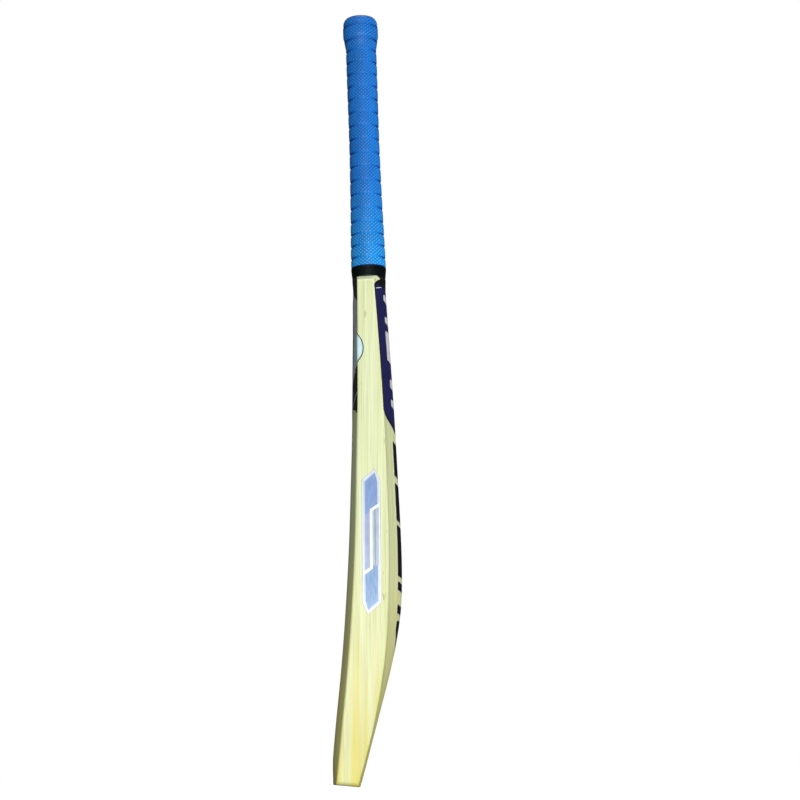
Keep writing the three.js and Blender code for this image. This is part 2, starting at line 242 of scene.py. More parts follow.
def settle(x, y, z, lift):
    """A point of the plain section, turned towards the neck's oval and tipped at the toe."""
    width = half_width(z) + lift
    neck = ease(z, SHOULDER_BOTTOM, NECK_HEIGHT)
    centre = NECK_CENTRE_Y + (NECK_HEIGHT - z) * math.tan(HANDLE_TILT)
    depth = NECK_HALF_DEPTH + lift
    angle = math.atan2((y - centre) / depth, x / width)
    oval = Vector((width * math.cos(angle), centre + depth * math.sin(angle), z))
    slant = math.tan(TOE_SLANT) * max(0.0, 1 - z / TOE_SLANT_HEIGHT)
    return Vector((x, y, z - slant * y)).lerp(oval, neck)


def cover(across, z, lift, face_side):
    """A point of the blade's skin, raised by lift. across is the distance from the middle of the
    face, or of the back, measured over the surface: past the half width it goes on to the edge."""
    width = half_width(z) + lift
    inner = width - EDGE_CORNER
    out = -1 if face_side else 1
    skin_y = face_y if face_side else back_y
    flat = HALF_WIDTH - EDGE_CORNER
    reach = abs(across)
    if reach <= flat:
        x = inner * reach / flat
        y = skin_y(x, z) + out * lift
    elif reach < flat + 2 * EDGE_CORNER:
        turn = (reach - flat) / (2 * EDGE_CORNER) * math.pi / 2
        x = inner + EDGE_CORNER * math.sin(turn)
        y = skin_y(inner, z) + out * (lift - EDGE_CORNER * (1 - math.cos(turn)))
    else:
        x = width
        y = skin_y(inner, z) + out * (lift - (reach - HALF_WIDTH))
    point = settle(x, y, z, lift)
    if across < 0:
        point.x = -point.x
    return point


def on_face(across, z, lift):
    return cover(across, z, lift, True)


def on_back(across, z, lift):
    return cover(across, z, lift, False)


# ---- Blade ------------------------------------------------------------------------------

FACE_COLUMNS = 14
CORNER_STEPS = 6
EDGE_STEPS = 4
TOE_EDGE_SECTIONS = 4
TOE_CORNER_SECTIONS = 12
BODY_SECTIONS = 130
SHOULDER_SECTIONS = 34


def blade_heights():
    """Heights of the blade's sections, closer together where its outline turns."""
    corner = [TOE_CORNER_RADIUS * (1 - math.cos(a)) for a in spread(0, math.pi / 2, TOE_CORNER_SECTIONS)]
    body = spread(TOE_CORNER_RADIUS, SHOULDER_BOTTOM, BODY_SECTIONS)
    shoulder = spread(SHOULDER_BOTTOM, NECK_HEIGHT, SHOULDER_SECTIONS)
    return corner[:-1] + body[:-1] + shoulder


def blade_section(z, lift):
    """One closed section of the blade, anticlockwise seen from above, from the middle of the face."""
    flat = HALF_WIDTH - EDGE_CORNER
    steps = spread(0, flat, FACE_COLUMNS) + spread(flat, flat + 2 * EDGE_CORNER, CORNER_STEPS)[1:]
    front = [on_face(step, z, lift) for step in steps]
    back = [on_back(step, z, lift) for step in reversed(steps)]
    edge = [front[-1].lerp(back[0], i / EDGE_STEPS) for i in range(1, EDGE_STEPS)]
    right = front + edge + back
    left = [Vector((-p.x, p.y, p.z)) for p in reversed(right[1:-1])]
    return right + left


def add_notch(piece):
    """Cuts the V notch that the handle's wedge fills."""
    top = NECK_HEIGHT + mm(0.3)
    tip = NECK_HEIGHT - WEDGE_LENGTH
    reach = mm(120)
    outline = [
        (-WEDGE_TIP_HALF_WIDTH, tip), (WEDGE_TIP_HALF_WIDTH, tip),
        (WEDGE_TOP_HALF_WIDTH, top), (-WEDGE_TOP_HALF_WIDTH, top),
    ]
    cutter = bmesh.new()
    near = cutter.faces.new([cutter.verts.new((x, -reach, z)) for x, z in outline])
    pushed = bmesh.ops.extrude_face_region(cutter, geom=[near])
    moved = [v for v in pushed["geom"] if isinstance(v, bmesh.types.BMVert)]
    bmesh.ops.translate(cutter, verts=moved, vec=(0, 2 * reach, 0))
    bmesh.ops.recalc_face_normals(cutter, faces=cutter.faces)
    mesh = bpy.data.meshes.new("notch")
    cutter.to_mesh(mesh)
    cutter.free()
    tool = bpy.data.objects.new("notch", mesh)
    bpy.context.scene.collection.objects.link(tool)
    cut = piece.modifiers.new("notch", "BOOLEAN")
    cut.operation = "DIFFERENCE"
    cut.solver = "EXACT"
    cut.object = tool
    bpy.context.view_layer.update()
    graph = bpy.context.evaluated_depsgraph_get()
    result = bpy.data.meshes.new_from_object(piece.evaluated_get(graph), depsgraph=graph)
    piece.modifiers.clear()
    piece.data = result
    bpy.data.objects.remove(tool)
    result.set_sharp_from_angle(angle=math.radians(35))


def add_blade(material):
    """The willow: sections from the rounded toe up to the neck, with the splice notch cut out."""
    sections = []
    for angle in spread(0, math.pi / 2, TOE_EDGE_SECTIONS)[:-1]:
        inset = TOE_EDGE_RADIUS * (1 - math.sin(angle))
        sections.append(blade_section(TOE_EDGE_RADIUS * (1 - math.cos(angle)), -inset))
    for z in blade_heights():
        if z >= TOE_EDGE_RADIUS:
            sections.append(blade_section(z, 0.0))
    count = len(sections[0])
    vertices = [point for section in sections for point in section]
    faces = join_rings(count, len(sections))
    faces.append(tuple(reversed(range(count))))
    faces.append(tuple(range(len(vertices) - count, len(vertices))))
    blade = make_piece("willow_blade", vertices, faces, [material])
    add_notch(blade)
    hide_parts("blade")


# ---- Handle -----------------------------------------------------------------------------

HANDLE_FRAME = Matrix.Translation((0, NECK_CENTRE_Y, NECK_HEIGHT)) @ Matrix.Rotation(HANDLE_TILT, 4, "X")


def on_handle(angle, z, outside, share=1.0):
    """A point round the handle's oval, a distance outside the bare cane, at a height up the handle."""
    half_x = share * (read_line(CANE_HALF_WIDTH, z) + outside)
    half_y = share * (read_line(CANE_HALF_DEPTH, z) + outside)
    return HANDLE_FRAME @ Vector((half_x * math.cos(angle), half_y * math.sin(angle), z))


THREAD_COLUMNS = 40
THREAD_ROWS_PER_TURN = 4
THREAD_PROFILE = (0.45, 0.85, 1.0, 0.85)
THREAD_END_GAP = mm(0.15)
THREAD_FOOT_ROUNDING = mm(0.3)
THREAD_TOP_THICKNESS = mm(0.5)
THREAD_ABOVE_NECK = mm(0.05)


def thread_crest(z):
    """How far the crests of the turns stand outside the bare cane."""
    foot = read_line(THREAD_FOOT, z)
    return foot + (THREAD_INSIDE + THREAD_THICKNESS - foot) * ease(z, *THREAD_STEP)


def add_thread(material):
    """Close turns of thread. The rows follow the helix, so each turn is one clean ridge, and the
    last column of a row meets the first column one turn higher."""
    n = THREAD_COLUMNS
    per = THREAD_ROWS_PER_TURN
    first = THREAD_BOTTOM + THREAD_END_GAP
    turns = int((HANDLE_LENGTH - THREAD_END_GAP - first) / THREAD_PITCH) - 1
    rows = turns * per + 1
    vertices = []
    for i in range(rows):
        valley = THREAD_THICKNESS * (1 - THREAD_PROFILE[i % per])
        for j in range(n):
            z = first + THREAD_PITCH * (i / per + j / n)
            vertices.append(on_handle(2 * math.pi * j / n, z, thread_crest(z) - valley))
    faces = []
    for i in range(rows - 1):
        for j in range(n - 1):
            low = i * n + j
            faces.append((low, low + 1, low + n + 1, low + n))
        if i + per + 1 < rows:
            faces.append((i * n + n - 1, (i + per) * n, (i + per + 1) * n, (i + 1) * n + n - 1))

    ends = []
    for z, outside in (
        (THREAD_BOTTOM, thread_crest(THREAD_BOTTOM) - THREAD_FOOT_ROUNDING),
        (THREAD_BOTTOM, THREAD_INSIDE),
        (HANDLE_LENGTH, THREAD_INSIDE),
        (HANDLE_LENGTH, THREAD_INSIDE + THREAD_TOP_THICKNESS),
    ):
        ends.append(len(vertices))
        for j in range(n):
            point = on_handle(2 * math.pi * j / n, z, outside)
            if z == THREAD_BOTTOM:
                point.z = NECK_HEIGHT + THREAD_ABOVE_NECK
            vertices.append(point)
    low_out, low_in, high_in, high_out = ends
    top = (rows - 1) * n
    for j in range(n - 1):
        faces.append((low_out + j, low_out + j + 1, j + 1, j))
        faces.append((top + j, top + j + 1, high_out + j + 1, high_out + j))
    faces.append((low_out + n - 1, low_out, *[k * n for k in range(per + 1)], n - 1))
    below_top = [(rows - 1 - k) * n + n - 1 for k in range(per + 1)]
    faces.append((high_out, high_out + n - 1, *below_top, top))
    for lower, upper in ((low_in, low_out), (high_in, low_in), (high_out, high_in)):
        for j in range(n):
            after = (j + 1) % n
            faces.append((lower + j, lower + after, upper + after, upper + j))
    thread = make_piece("thread_turns", vertices, faces, [material], sharp_angle=60)
    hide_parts("thread_binding")


GROOVES = [mm(read_line(GROOVE_LINE, number)) for number in range(GROOVE_COUNT)]
GRIP_DIAMONDS = 26
STEPS_PER_DIAMOND = 4
GRIP_ROW = mm(0.95)
GRIP_FIRST_ROW = mm(0.8)
GRIP_LAST_ROW = mm(304.6)
GRIP_INNER_HEIGHTS = mm([272, 230, 160, 110, 70, 30])
DIAMOND_DEPTH = mm(0.28)
DIAMOND_FADE = mm([302, 304.5])
BAND_PILLOW = mm(0.1)
SIDE_GROOVE_SHARE = 0.25
# Painted shade in the grooves and the collar's folds, strongest at the front and back of the grip.
GROOVE_SHADE_STRENGTH = 0.95
GROOVE_SHADE_SIDE = 0.1
GROOVE_SHADE_FRONT = 1.1
GROOVE_SHADE_SPREAD = 2.5
# Lightens every groove: a painted highlight where the painted shade is slight, at the grip's sides.
GROOVE_PAINTED_GLINT = 0.7
COLLAR_FOLDS = mm([277.6, 294])
COLLAR_START = mm(270)
COLLAR_TOP_RINGS = mm([305, 305.4, 305.7, 306])
LIP_RINGS = mm([0.6, -1, -2.2])
LIP_ROUNDING = mm([0.15, 0.6])
LIP_FLARE = 0.025


def nearness(z, places):
    """1 at one of the places, falling smoothly to 0 at half a groove's width from it."""
    away = min(abs(z - place) for place in places)
    return 0.5 + 0.5 * math.cos(math.pi * min(away / GROOVE_HALF_WIDTH, 1.0))


def groove_share(z):
    """1 at the middle of a groove of the grip, 0 on the bands between grooves."""
    return nearness(z, GROOVES)


def groove_painted_shade(angle, z):
    """Painted shade in a groove or a fold: most at the front and back of the grip, little at its sides."""
    shade = nearness(z, GROOVES + COLLAR_FOLDS)
    front = GROOVE_SHADE_SIDE + GROOVE_SHADE_FRONT * abs(math.sin(angle)) ** GROOVE_SHADE_SPREAD
    return GROOVE_SHADE_STRENGTH * shade * front


def band_swell(z):
    """1 halfway between two grooves, 0 at the grooves and on the collar."""
    if z < GROOVES[0] or z > GROOVES[-1]:
        return 0.0
    below = max(groove for groove in GROOVES if groove <= z)
    above = min(groove for groove in GROOVES if groove >= z)
    return math.sin(math.pi * (z - below) / max(above - below, TINY)) ** 2


def grip_relief(column, row, z):
    """Height of the diamond pattern, from 0 in its fine grooves to 1 on its tips."""
    a = abs(math.sin(math.pi * (column + row) / STEPS_PER_DIAMOND))
    b = abs(math.sin(math.pi * (column - row) / STEPS_PER_DIAMOND))
    fade = 1 - ease(z, *DIAMOND_FADE)
    return min(a, b) * (1 - groove_share(z)) * fade


def grip_base(angle, z):
    """How far the grip stands outside the cane, without its diamonds."""
    collar = read_line(COLLAR_PROFILE, z) * ease(z, COLLAR_START, COLLAR_PROFILE[0][0])
    depth = GROOVE_DEPTH * (SIDE_GROOVE_SHARE + (1 - SIDE_GROOVE_SHARE) * math.sin(angle) ** 2)
    return GRIP_OUTSIDE - DIAMOND_DEPTH + collar + BAND_PILLOW * band_swell(z) - depth * groove_share(z)


def add_grip(material):
    """A rolled-on rubber sleeve: diamond-cut bands between ring grooves, a collar and a lip."""
    columns = GRIP_DIAMONDS * STEPS_PER_DIAMOND
    rows = int((GRIP_LAST_ROW - GRIP_BOTTOM - GRIP_FIRST_ROW) / GRIP_ROW)
    vertices = []
    painted_relief_light = []

    def add_ring(z, outside, share=1.0):
        for j in range(columns):
            vertices.append(on_handle(2 * math.pi * j / columns, z, outside, share))
            painted_relief_light.append(0.0)

    add_ring(GRIP_BOTTOM, GRIP_INSIDE)
    add_ring(GRIP_BOTTOM, GRIP_OUTSIDE - mm(0.9))
    add_ring(GRIP_BOTTOM + mm(0.25), GRIP_OUTSIDE - mm(0.4))
    for i in range(rows):
        z = GRIP_BOTTOM + GRIP_FIRST_ROW + i * GRIP_ROW
        for j in range(columns):
            angle = 2 * math.pi * j / columns
            height = grip_relief(j, i, z)
            outside = grip_base(angle, z) + DIAMOND_DEPTH * height
            vertices.append(on_handle(angle, z, outside))
            # Colour attribute: the diamonds' height gives a painted highlight on their tips and painted
            # shade in their cuts; the grooves add their painted highlight and painted shade.
            painted_relief_light.append(height + GROOVE_PAINTED_GLINT * groove_share(z) - groove_painted_shade(angle, z))
    for z in COLLAR_TOP_RINGS:
        add_ring(z, grip_base(0.0, z))
    for outside in LIP_RINGS:
        add_ring(LIP_TOP, outside)
    add_ring(LIP_TOP - LIP_ROUNDING[0], 0.0, LIP_OPENING + LIP_FLARE)
    add_ring(LIP_TOP - LIP_ROUNDING[1], 0.0, LIP_OPENING)
    add_ring(LIP_BOTTOM, 0.0, LIP_OPENING)
    add_ring(LIP_BOTTOM, GRIP_INSIDE)
    for z in GRIP_INNER_HEIGHTS:
        add_ring(z, GRIP_INSIDE)
    rings = len(vertices) // columns
    faces = join_rings(columns, rings)
    last = (rings - 1) * columns
    for j in range(columns):
        after = (j + 1) % columns
        faces.append((last + j, last + after, after, j))
    grip = make_piece("rubber_grip", vertices, faces, [material], sharp_angle=50)
    attribute = grip.data.attributes.new("painted_relief_light", "FLOAT", "POINT")
    attribute.data.foreach_set("value", painted_relief_light)
    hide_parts("grip")


# ---- Labels -----------------------------------------------------------------------------

FILM_BOTTOM = mm(0.02)
FILM_TOP = mm(0.16)
INK_STEP = mm(0.03)
INK_SINK = 1.2
FACE_CUTS = mm([
    *spread(-61, -57, 4), *spread(-56, -52, 8), *spread(-48, 48, 32), *spread(52, 56, 8), *spread(57, 61, 4),
])
HEIGHT_CUTS = mm([*spread(120, 525, 81), *spread(526, 545, 38)])


def flat_grid(outline, cuts):
    """The outline as a flat face, cut into cells so that it can follow a curved surface."""
    flat = bmesh.new()
    flat.faces.new([flat.verts.new((a, z, 0)) for a, z in outline])
    for axis, places in enumerate(cuts):
        normal = Vector((1, 0, 0)) if axis == 0 else Vector((0, 1, 0))
        low = min(point[axis] for point in outline)
        high = max(point[axis] for point in outline)
        for place in places:
            if low + TINY < place < high - TINY:
                parts = flat.verts[:] + flat.edges[:] + flat.faces[:]
                bmesh.ops.bisect_plane(flat, geom=parts, dist=TINY, plane_co=normal * place, plane_no=normal)
    flat.verts.index_update()
    return flat


class Film:
    """A thin label. It is built up from patches, each a closed slab with one colour of ink."""

    def __init__(self, place, cuts):
        self.place = place
        self.cuts = cuts
        self.vertices = []
        self.faces = []
        self.slots = []

    def add(self, outline, layer, slot):
        """layer 0 is the film itself. Each further layer of ink stands one INK_STEP higher and
        reaches INK_SINK steps down, into the one below it."""
        low = FILM_BOTTOM if layer == 0 else FILM_TOP + (layer - INK_SINK) * INK_STEP
        high = FILM_TOP + layer * INK_STEP
        flat = flat_grid(outline, self.cuts)
        start = len(self.vertices)
        count = len(flat.verts)
        for lift in (high, low):
            self.vertices.extend(self.place(v.co.x, v.co.y, lift) for v in flat.verts)
        made = []
        for face in flat.faces:
            corners = [v.index for v in face.verts]
            made.append([start + c for c in corners])
            made.append([start + count + c for c in reversed(corners)])
        for edge in flat.edges:
            if edge.is_boundary:
                a, b = (v.index for v in edge.verts)
                made.append([start + a, start + b, start + count + b, start + count + a])
        flat.free()
        self.faces.extend(made)
        self.slots.extend([slot] * len(made))

    def add_pair(self, outline, layer, slot):
        """The outline, and its mirror image on the other side of the bat."""
        self.add(outline, layer, slot)
        self.add([(-a, z) for a, z in reversed(outline)], layer, slot)

    def finish(self, name, node, materials):
        piece = make_piece(name, self.vertices, self.faces, materials, self.slots, sharp_angle=40)
        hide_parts(node)


def mirrored(right):
    """A whole outline from its right half, which runs from the bottom to the top."""
    return right + [(-a, z) for a, z in reversed(right) if a > TINY]


def arc(centre_a, centre_z, radius, start, stop, steps):
    """Points on a circle between two angles in degrees."""
    turns = [math.radians(angle) for angle in spread(start, stop, steps)]
    return [(centre_a + radius * math.cos(t), centre_z + radius * math.sin(t)) for t in turns]


LABEL_TOP = mm(544.8)
FACE_LABEL_SHOULDER = mm([[53.6, 530], [50, 536], [41, 542], [40, 544.8]])
BACK_LABEL_SHOULDER = mm([[54, 526], [48, 528.1], [35, 537.2], [45, 539.2], [56, 541.5], [57, 544.8]])
FACE_LABEL_SIDE = HALF_WIDTH - mm(0.4)
FACE_LABEL_BOTTOM = mm(384)
FACE_LABEL_ARCH = mm(12)
EMBLEM = {"across": mm(40), "height": mm(455), "radius": mm(21), "rim": mm(1)}


def face_arch(across, rise):
    """The arched lower end of the face label, moved up by rise."""
    return (across, FACE_LABEL_BOTTOM + rise + FACE_LABEL_ARCH * (1 - (across / HALF_WIDTH) ** 2))


def chevron(half, foot, height, rise):
    """A V-shaped bar: half wide each side, foot high at its middle, with ends that rise."""
    return mirrored([(0, foot), (half, foot + rise), (half, foot + rise + height), (0, foot + height)])


def add_face_label(materials):
    """Black film with a silver panel. A round emblem at each side wraps over the edge."""
    black, silver, pearl, blue = range(4)
    side = FACE_LABEL_SIDE
    film = Film(on_face, (FACE_CUTS, HEIGHT_CUTS))
    across, height, radius, rim = EMBLEM.values()
    lobe = math.degrees(math.acos((side - across) / radius))
    right = [face_arch(a, 0) for a in spread(0, side, 14)]
    right += arc(across, height, radius, -lobe, lobe, 18)
    right += [tuple(point) for point in FACE_LABEL_SHOULDER] + [(0, LABEL_TOP)]
    film.add(mirrored(right), 0, black)
    panel = mm([[0, 425], [53.3, 437], [53.3, 472], [52.4, 480], [52.4, 507], [0, 528]])
    film.add(mirrored(panel), 1, silver)
    film.add(mirrored(mm([[0, 397], [53.3, 406.2], [53.3, 407.8], [0, 398.6]])), 1, silver)
    film.add_pair(arc(across, height, radius, 0, 352, 44), 2, black)
    film.add_pair(arc(across, height, radius - rim, 0, 352, 44), 3, pearl)
    for i, ink in enumerate((blue, black, blue)):
        film.add(chevron(mm(15), mm(448 + 17 * i), mm(9), mm(8)), 2, ink)
    film.add(chevron(mm(24), mm(408), mm(3.5), mm(5)), 1, blue)
    film.finish("face_film", "face_label", materials)


BACK_LABEL_BOTTOM = mm(388)
BACK_LABEL_POINT = mm(370)
BACK_BORDER = mm(2.2)
# The white blocks on the spine, as [bottom, top, half width].
SPINE_BLOCKS = mm([
    [515.4, 525.8, 17], [490.7, 500.9, 18], [448.4, 484.2, 20], [418.6, 431.3, 16], [398.1, 408.8, 17],
])
BLOCK_RIM = mm(1.5)


def hexagon(half, low, high, cut):
    """A six-sided block, standing on its point, between two heights."""
    return mirrored([(0, low), (half, low + cut), (half, high - cut), (0, high)])


def add_back_label(materials):
    """Navy film with a black border, and a row of plain white blocks down the spine."""
    black, navy, white = range(3)
    film = Film(on_back, (FACE_CUTS, HEIGHT_CUTS))
    right = [(0, BACK_LABEL_POINT), (HALF_WIDTH, BACK_LABEL_BOTTOM)]
    right += [tuple(point) for point in BACK_LABEL_SHOULDER] + [(0, LABEL_TOP)]
    film.add(mirrored(right), 0, black)
    inner = HALF_WIDTH - BACK_BORDER
    spine = mm(5)
    film.add_pair([
        (spine, BACK_LABEL_POINT + mm(5)), (inner, BACK_LABEL_BOTTOM + mm(2.5)), (inner, mm(520)),
        (mm(38), mm(531)), (spine, mm(531)),
    ], 1, navy)
    for low, high, width in SPINE_BLOCKS:
        cut = mm(1.8)
        film.add(hexagon(width + BLOCK_RIM, low - BLOCK_RIM, high + BLOCK_RIM, cut), 2, black)
        film.add(hexagon(width, low, high, cut), 3, white)
    film.add_pair(mm([[24, 529.4], [44, 523.4], [44, 524.4], [24, 530.4]]), 2, white)
    film.finish("back_film", "back_label", materials)


FLANK_INNER = mm(0.8)
# The printed bars beside the spine, as [bottom, top, width].
FLANK_BARS = mm([
    [134, 170, 16], [176, 187, 18], [200, 211, 19], [215, 271, 19], [274, 316, 19], [322, 361, 19],
])
FLANK_SLANT = mm(2)
FLANK_RIM = mm(1.6)


def flank_bar(width, low, high, grow):
    """One bar beside the spine, grown by a rim. The lowest one narrows to a point."""
    inner = FLANK_INNER - grow / 2
    outer = FLANK_INNER + width + grow
    foot = low - grow
    if low == FLANK_BARS[0][0]:
        return [(inner, foot), (outer, high - mm(9)), (outer, high + grow), (inner, high + grow)]
    top = high - FLANK_SLANT + grow
    return [(inner, foot), (outer, foot + FLANK_SLANT), (outer, top + FLANK_SLANT), (inner, top)]


def add_flank_strips(materials):
    """Black bars with cream outlines, printed on both flanks beside the spine."""
    cream, ink = range(2)
    for name, sign in (("left", -1), ("right", 1)):
        film = Film(on_back, (FACE_CUTS, HEIGHT_CUTS))
        for low, high, width in FLANK_BARS:
            for layer, grow, slot in ((0, FLANK_RIM, cream), (1, 0.0, ink)):
                outline = flank_bar(width, low, high, grow)
                film.add([(sign * a, z) for a, z in outline], layer, slot)
        film.finish(f"flank_bars_{name}", f"flank_strip_{name}", materials)


EDGE_LABEL = {"bottom": mm(173), "top": mm(325), "corner": mm(12), "half": mm(9.8), "shift": mm(4)}
EDGE_LABEL_MIDDLE = mm(21.65)
EDGE_LABEL_LEAN = mm(0.8)


def edge_strip(inset):
    """The six-sided outline of the edge label, drawn in by inset all round."""
    bottom, top, corner, half, shift = EDGE_LABEL.values()
    half -= inset
    return [
        (-shift, bottom + 1.3 * inset), (half, bottom + corner + 0.5 * inset),
        (half, top - corner - 0.6 * inset), (shift, top - 1.3 * inset),
        (-half, top - corner - 0.5 * inset), (-half, bottom + corner + 0.6 * inset),
    ]


def add_edge_labels(materials):
    """A pale blue strip with a white border on the flat of each edge. A white post between two
    slanting white bars splits its middle part in two."""
    grey, white, pale, sky, lavender, steel, dusk, cyan = range(8)
    middle = (EDGE_LABEL["bottom"] + EDGE_LABEL["top"]) / 2
    half_length = (EDGE_LABEL["top"] - EDGE_LABEL["bottom"]) / 2
    layers = [
        # The outermost layer is a grey painted shadow round the label.
        (0, grey, edge_strip(0.0)),
        (1, white, edge_strip(mm(0.35))),
        (2, pale, edge_strip(mm(1.5))),
        (3, sky, edge_strip(mm(3.3))),
        (4, cyan, mm([[-4, 179.5], [6.3, 187.5], [6.3, 222.6], [0, 220.7], [-6.3, 213.9], [-6.3, 186]])),
        (4, lavender, mm([[-6.3, 215.8], [-0.5, 220.7], [-0.5, 280], [-6.3, 276.1]])),
        (4, steel, mm([[0.5, 223.6], [7.6, 223.6], [7.6, 284.8], [0.5, 280]])),
        (5, dusk, mm([[3.3, 223.6], [4.6, 223.6], [4.6, 283.9], [3.3, 282.9]])),
        (6, white, mm([[-1.6, 219.7], [1.3, 219.7], [1.3, 281.9], [-1.6, 280]])),
        (7, white, mm([[-1.6, 278.6], [8.4, 284.8], [8.4, 289], [-1.6, 282.1]])),
        (7, white, mm([[-8.4, 212.9], [1.3, 220.1], [1.3, 223.6], [-8.4, 217]])),
    ]
    for name, sign in (("left", -1), ("right", 1)):
        def on_edge(a, z, lift, sign=sign):
            lean = EDGE_LABEL_LEAN * (middle - z) / half_length
            return Vector((sign * (HALF_WIDTH + lift), EDGE_LABEL_MIDDLE + lean + a, z))

        film = Film(on_edge, ((), HEIGHT_CUTS[::4]))
        for layer, slot, outline in layers:
            film.add(outline, layer, slot)
        film.finish(f"edge_film_{name}", f"edge_label_{name}", materials)


# ---- Materials --------------------------------------------------------------------------

class Nodes:
    """Short calls for building one material's node tree."""

    def __init__(self, name, roughness=0.5, specular=0.5):
        self.material = bpy.data.materials.new(name)
        self.material.use_nodes = True
        self.tree = self.material.node_tree
        self.shader = self.tree.nodes["Principled BSDF"]
        self.shader.inputs["Roughness"].default_value = roughness
        self.shader.inputs["Specular IOR Level"].default_value = specular

    def node(self, kind, **settings):
        made = self.tree.nodes.new(kind)
        for key, value in settings.items():
            setattr(made, key, value)
        return made

    def put(self, value, socket):
        """Links a socket's value, or sets a plain number or colour."""
        if isinstance(value, bpy.types.NodeSocket):
            self.tree.links.new(value, socket)
        else:
            socket.default_value = (*value, 1.0) if isinstance(value, tuple) else value

    def place(self, scale):
        """Object coordinates, stretched by scale."""
        coordinates = self.node("ShaderNodeTexCoord")
        mapping = self.node("ShaderNodeMapping")
        mapping.inputs["Scale"].default_value = scale
        self.put(coordinates.outputs["Object"], mapping.inputs["Vector"])
        return mapping.outputs["Vector"]

    def axis(self, letter):
        """One object coordinate."""
        split = self.node("ShaderNodeSeparateXYZ")
        self.put(self.place((1, 1, 1)), split.inputs[0])
        return split.outputs[letter]

    def noise(self, scale, detail=3.0):
        made = self.node("ShaderNodeTexNoise")
        made.inputs["Scale"].default_value = 1.0
        made.inputs["Detail"].default_value = detail
        self.put(self.place(scale), made.inputs["Vector"])
        return made.outputs["Fac"]

    def ramp(self, factor, stops, smooth=False):
        """A colour, or a grey, for each position along the factor."""
        made = self.node("ShaderNodeValToRGB")
        made.color_ramp.interpolation = "EASE" if smooth else "LINEAR"
        elements = made.color_ramp.elements
        while len(elements) < len(stops):
            elements.new(0.5)
        for element, (position, value) in zip(elements, stops):
            element.position = position
            element.color = (*value, 1.0) if isinstance(value, tuple) else (value, value, value, 1.0)
        self.put(factor, made.inputs["Fac"])
        return made.outputs["Color"]

    def mix(self, factor, first, second, blend="MIX"):
        made = self.node("ShaderNodeMix", data_type="RGBA", blend_type=blend)
        self.put(factor, made.inputs[0])
        self.put(first, made.inputs[6])
        self.put(second, made.inputs[7])
        return made.outputs[2]

    def maths(self, operation, *values):
        made = self.node("ShaderNodeMath", operation=operation)
        for value, socket in zip(values, made.inputs):
            self.put(value, socket)
        return made.outputs[0]

    def colour(self, source):
        self.put(source, self.shader.inputs["Base Color"])

    def rough(self, source):
        self.put(source, self.shader.inputs["Roughness"])

    def bump(self, height, distance, strength=1.0):
        made = self.node("ShaderNodeBump")
        made.inputs["Strength"].default_value = strength
        made.inputs["Distance"].default_value = distance
        self.put(height, made.inputs["Height"])
        self.put(made.outputs["Normal"], self.shader.inputs["Normal"])


RING_PITCH = mm(9)
RING_SWAY = mm(11)


def willow():
    """Pale sanded willow: growth rings that run front to back, fibres, flecks and a warmer toe."""
    n = Nodes("willow")
    bent = n.maths("MULTIPLY_ADD", n.noise((13, 17, 3.2), 2.0), RING_SWAY, n.axis("X"))
    ring = n.maths("FRACT", n.maths("DIVIDE", bent, RING_PITCH))
    late_wood = n.ramp(ring, [(0.0, 0.0), (0.62, 0.10), (0.86, 0.75), (0.93, 1.0), (1.0, 0.0)])
    wide = n.noise((150, 150, 4.0), 3.0)
    fine = n.noise((700, 700, 14), 4.0)
    pale = n.ramp(wide, [(0.30, (0.75, 0.82, 0.40)), (0.50, (0.84, 0.90, 0.52)), (0.70, (0.88, 0.95, 0.60))])
    toned = n.mix(n.maths("MULTIPLY", late_wood, 0.35), pale, (0.70, 0.70, 0.34))
    threads = n.ramp(fine, [(0.32, 0.86), (0.50, 1.0), (0.70, 1.04)])
    toned = n.mix(1.0, toned, threads, "MULTIPLY")
    low = n.ramp(n.axis("Z"), [(0.0, 1.0), (0.32, 0.0)], smooth=True)
    streak = n.ramp(n.noise((95, 95, 2.2), 3.0), [(0.42, 0.3), (0.56, 1.0)])
    toned = n.mix(n.maths("MULTIPLY", low, streak), toned, (0.84, 0.75, 0.155))
    tan = n.ramp(n.noise((170, 120, 3.5), 2.0), [(0.60, 0.0), (0.70, 1.0)])
    toned = n.mix(n.maths("MULTIPLY", tan, 0.4), toned, (0.84, 0.77, 0.34))
    fleck = n.ramp(n.noise((330, 330, 60), 1.0), [(0.735, 0.0), (0.775, 1.0)])
    toned = n.mix(n.maths("MULTIPLY", fleck, 0.6), toned, (0.42, 0.38, 0.16))
    n.colour(toned)
    n.rough(n.ramp(fine, [(0.3, 0.52), (0.7, 0.40)]))
    n.bump(n.mix(0.35, fine, late_wood), mm(0.12), 0.5)
    return n.material


def cane():
    """Bare cane: straw coloured, with long fibres and the dots of open pores on its cut ends."""
    n = Nodes("cane", roughness=0.6)
    pores = n.node("ShaderNodeTexVoronoi")
    pores.inputs["Scale"].default_value = 1.0
    n.put(n.place((1500, 1500, 25)), pores.inputs["Vector"])
    dots = n.ramp(pores.outputs["Distance"], [(0.10, 1.0), (0.26, 0.0)])
    tone = n.ramp(n.noise((400, 400, 9), 4.0), [(0.3, (0.52, 0.38, 0.17)), (0.7, (0.74, 0.60, 0.34))])
    n.colour(n.mix(n.maths("MULTIPLY", dots, 0.75), tone, (0.22, 0.13, 0.05)))
    n.bump(dots, mm(-0.15), 0.6)
    return n.material


def spring_rubber():
    n = Nodes("spring_rubber", roughness=0.8)
    n.colour(n.ramp(n.noise((900, 900, 900)), [(0.3, (0.020, 0.018, 0.016)), (0.7, (0.055, 0.050, 0.045))]))
    n.bump(n.noise((1500, 1500, 1500), 2.0), mm(0.05), 0.5)
    return n.material


